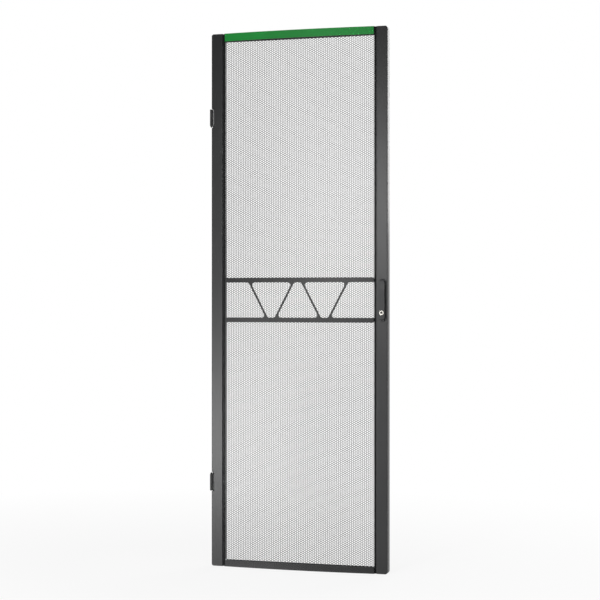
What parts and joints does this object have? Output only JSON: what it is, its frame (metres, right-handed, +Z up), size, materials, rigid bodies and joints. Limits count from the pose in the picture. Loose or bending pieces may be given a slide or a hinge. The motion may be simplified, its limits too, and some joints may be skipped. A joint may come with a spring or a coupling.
{
  "type": "perforated rack door",
  "caption": "Tall bowed perforated steel door for a server rack, with folded stiles, a green top strip, a rear truss, knuckle hinges and a swing handle with key lock and latch rods.",
  "frame": {"origin": "on the hinge axis, at the middle of the lower hinge's bore", "axes": "+X to the right seen from the front, +Y to the back, +Z up along the hinge axis"},
  "size_m": [0.7491, 0.0575, 2.183],
  "materials": {
    "powder_coat": "matt black powder coat",
    "green_strip": "satin",
    "black_plastic": "fine grain",
    "zinc_steel": "zinc plated",
    "nickel": "polished",
    "nylon": "natural black nylon",
    "rubber": "matt"
  },
  "bodies": {
    "door": {"perforated_panel": "powder_coat", "hinge_stile": "powder_coat", "latch_stile": "powder_coat", "top_rail": "powder_coat", "bottom_rail": "powder_coat", "truss_brace": "powder_coat", "upper_hinge": "powder_coat", "lower_hinge": "powder_coat", "top_strip": "green_strip", "handle_housing": "black_plastic", "gear_case": "black_plastic", "truss_screws": "zinc_steel", "corner_brackets": "zinc_steel", "bracket_screws": "zinc_steel", "hinge_screws": "zinc_steel", "case_cover": "zinc_steel", "case_screws": "zinc_steel", "clamp_bridge": "zinc_steel", "clamp_screw": "zinc_steel", "guide_screws": "zinc_steel", "ground_stud": "zinc_steel", "ground_nut": "zinc_steel", "hinge_bushes": "nylon", "rod_guides": "nylon", "bumpers": "rubber"},
    "handle": {"spindle": "zinc_steel", "drive_pinion": "zinc_steel", "spindle_washer": "zinc_steel", "spindle_nut": "zinc_steel"},
    "lever": {"handle_lever": "black_plastic", "lever_pin": "zinc_steel", "lock_cylinder": "nickel"},
    "key": {"key_plug": "nickel"},
    "bolt": {"lock_bolt": "zinc_steel"},
    "upper_latch": {"upper_rod": "zinc_steel"},
    "lower_latch": {"lower_rod": "zinc_steel"}
  },
  "joints": [
    {"name": "handle_turn", "type": "hinge", "parent": "door", "child": "handle", "pos_m": [0.72105, 0, 0.8365], "axis": [0, -1, 0], "range_deg": [0, 90]},
    {"name": "lever_lift", "type": "hinge", "parent": "handle", "child": "lever", "pos_m": [0.72105, -0.0125, 0.8365], "axis": [-1, 0, 0], "range_deg": [0, 40]},
    {"name": "key_turn", "type": "hinge", "parent": "lever", "child": "key", "pos_m": [0.72105, -0.0125, 0.7175], "axis": [0, 1, 0], "range_deg": [0, 90]},
    {"name": "bolt_slide", "type": "slide", "parent": "lever", "child": "bolt", "axis": [0, 0, -1], "range_m": [0, 0.0034]},
    {"name": "upper_rod_slide", "type": "slide", "parent": "door", "child": "upper_latch", "axis": [0, 0, -1], "range_m": [0, 0.0165]},
    {"name": "lower_rod_slide", "type": "slide", "parent": "door", "child": "lower_latch", "axis": [0, 0, 1], "range_m": [0, 0.0165]}
  ],
  "couplings": [
    {"joint": "upper_rod_slide", "follows": "handle_turn", "m_per_rad": 0.0105},
    {"joint": "lower_rod_slide", "follows": "handle_turn", "m_per_rad": 0.0105},
    {"joint": "key_turn", "follows": "bolt_slide", "rad_per_m": 461.9}
  ]
}
